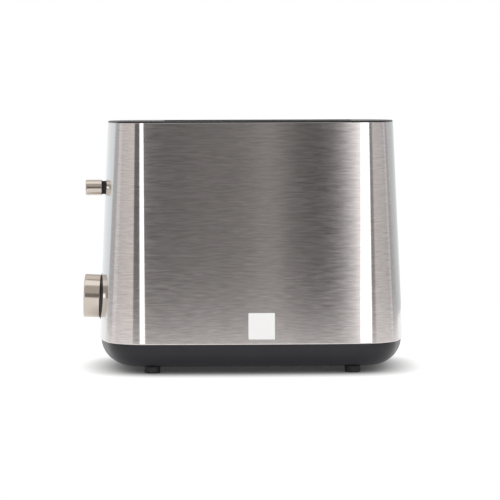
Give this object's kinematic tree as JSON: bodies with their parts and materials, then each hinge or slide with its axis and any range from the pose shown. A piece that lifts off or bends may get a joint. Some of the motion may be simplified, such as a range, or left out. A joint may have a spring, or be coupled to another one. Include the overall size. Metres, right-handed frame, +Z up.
{
  "type": "two-slot pop-up toaster",
  "caption": "Pop-up toaster with a tapered brushed steel body, rounded black base, side lever, round browning knob and pull-out crumb tray.",
  "frame": {"origin": "on the floor, under the centre of the whole toaster's box, knobs included", "axes": "+Z up, +X from the control end to the cord end along the body, -Y the near long side"},
  "size_m": [0.258, 0.1611, 0.1984],
  "materials": {
    "brushed_steel_side": "horizontally brushed stainless steel",
    "polished_steel_end": "finely brushed, nearly polished stainless steel",
    "slot_steel": "brushed stainless steel",
    "satin_nickel": "satin nickel",
    "black_base_plastic": "fine textured black moulding",
    "black_top_plastic": "satin black moulding",
    "black_trim": "satin black moulding",
    "button_plastic": "satin dark grey moulding",
    "rubber": "matt black rubber",
    "label_film": "plain white film",
    "zinc_sheet": "bare zinc-plated sheet steel",
    "reflector_sheet": "bright sheet steel",
    "mica": "pale mica board",
    "heater_alloy": "oxidised resistance ribbon",
    "steel_wire": "bright drawn wire",
    "spring_steel": "drawn spring steel",
    "magnet_steel": "laminated soft steel",
    "copper_winding": "enamelled copper wire",
    "contact_brass": "brass strip",
    "ceramic_white": "off-white steatite",
    "lead_sleeve": "woven glass sleeve",
    "board_green": "green solder mask",
    "part_black": "moulded black resin",
    "capacitor_sleeve": "shrunk dark blue sleeve",
    "potentiometer_body": "grey-blue moulded case",
    "screw_steel": "zinc-plated steel"
  },
  "bodies": {
    "housing": {"base_tub": "black_base_plastic", "feet": "rubber", "side_panel_near": "brushed_steel_side", "side_panel_far": "brushed_steel_side", "control_panel": "polished_steel_end", "rear_panel": "polished_steel_end", "top_frame": "black_top_plastic", "slot_plate": "slot_steel", "blank_label": "label_film", "chassis_front": "zinc_sheet", "chassis_rear": "zinc_sheet", "floor_rails": "zinc_sheet", "reflector_near": "reflector_sheet", "reflector_far": "reflector_sheet", "heater_board_outer_near": "mica", "heater_board_inner_near": "mica", "heater_board_inner_far": "mica", "heater_board_outer_far": "mica", "heater_wire_outer_near": "heater_alloy", "heater_wire_inner_near": "heater_alloy", "heater_wire_inner_far": "heater_alloy", "heater_wire_outer_far": "heater_alloy", "guide_rod_near": "steel_wire", "guide_rod_far": "steel_wire", "magnet_core": "magnet_steel", "magnet_coil": "copper_winding", "contact_block": "ceramic_white", "terminal_block": "ceramic_white", "mains_leads": "lead_sleeve", "cord_gland": "rubber", "control_carrier": "part_black", "control_board": "board_green", "timer_chip": "part_black", "smoothing_capacitor": "capacitor_sleeve", "dropper_resistor": "ceramic_white", "browning_potentiometer": "potentiometer_body", "dial_ring": "black_trim", "button_switches": "part_black", "base_screws": "screw_steel", "board_screws": "screw_steel"},
    "carriage": {"carriage": "zinc_sheet", "bread_rack_near": "steel_wire", "bread_rack_far": "steel_wire", "carriage_spring": "spring_steel", "latch_plate": "magnet_steel", "contact_bridge": "contact_brass", "lever_neck": "black_trim", "lever_knob": "satin_nickel"},
    "guide_outer_near": {"bread_guide_outer_near": "steel_wire"},
    "guide_inner_near": {"bread_guide_inner_near": "steel_wire"},
    "guide_inner_far": {"bread_guide_inner_far": "steel_wire"},
    "guide_outer_far": {"bread_guide_outer_far": "steel_wire"},
    "browning_control": {"browning_knob": "satin_nickel", "knob_shaft": "steel_wire"},
    "cancel": {"cancel_button": "button_plastic"},
    "reheat": {"reheat_button": "button_plastic"},
    "defrost": {"defrost_button": "button_plastic"},
    "tray": {"crumb_tray": "slot_steel", "tray_handle": "black_base_plastic"}
  },
  "joints": [
    {"name": "carriage_slide", "type": "slide", "parent": "housing", "child": "carriage", "axis": [0, 0, -1], "range_m": [0, 0.054], "stiffness_N_per_m": 80, "springref_m": -0.04, "deforming": ["carriage_spring"]},
    {"name": "guide_outer_near_lean", "type": "hinge", "parent": "housing", "child": "guide_outer_near", "pos_m": [0.01153, -0.0465, 0.046], "axis": [1, 0, 0], "range_deg": [-4.04, 0]},
    {"name": "guide_inner_near_lean", "type": "hinge", "parent": "housing", "child": "guide_inner_near", "pos_m": [0.01153, -0.0135, 0.046], "axis": [1, 0, 0], "range_deg": [0, 4.04]},
    {"name": "guide_inner_far_lean", "type": "hinge", "parent": "housing", "child": "guide_inner_far", "pos_m": [0.01153, 0.0135, 0.046], "axis": [1, 0, 0], "range_deg": [-4.04, 0]},
    {"name": "guide_outer_far_lean", "type": "hinge", "parent": "housing", "child": "guide_outer_far", "pos_m": [0.01153, 0.0465, 0.046], "axis": [1, 0, 0], "range_deg": [0, 4.04]},
    {"name": "browning_turn", "type": "hinge", "parent": "housing", "child": "browning_control", "pos_m": [-0.11451, 0, 0.0566], "axis": [0.999, 0, -0.0446], "range_deg": [0, 270]},
    {"name": "cancel_press", "type": "slide", "parent": "housing", "child": "cancel", "axis": [0.999, 0, -0.0446], "range_m": [0, 0.0012], "stiffness_N_per_m": 500, "springref_m": -0.001},
    {"name": "reheat_press", "type": "slide", "parent": "housing", "child": "reheat", "axis": [0.999, 0, -0.0446], "range_m": [0, 0.0012], "stiffness_N_per_m": 500, "springref_m": -0.001},
    {"name": "defrost_press", "type": "slide", "parent": "housing", "child": "defrost", "axis": [0.999, 0, -0.0446], "range_m": [0, 0.0012], "stiffness_N_per_m": 500, "springref_m": -0.001},
    {"name": "tray_slide", "type": "slide", "parent": "housing", "child": "tray", "axis": [1, 0, 0], "range_m": [0, 0.15]}
  ],
  "couplings": [
    {"joint": "guide_outer_near_lean", "follows": "carriage_slide", "rad_per_m": -1.29},
    {"joint": "guide_inner_near_lean", "follows": "carriage_slide", "rad_per_m": 1.29},
    {"joint": "guide_inner_far_lean", "follows": "carriage_slide", "rad_per_m": -1.29},
    {"joint": "guide_outer_far_lean", "follows": "carriage_slide", "rad_per_m": 1.29}
  ]
}
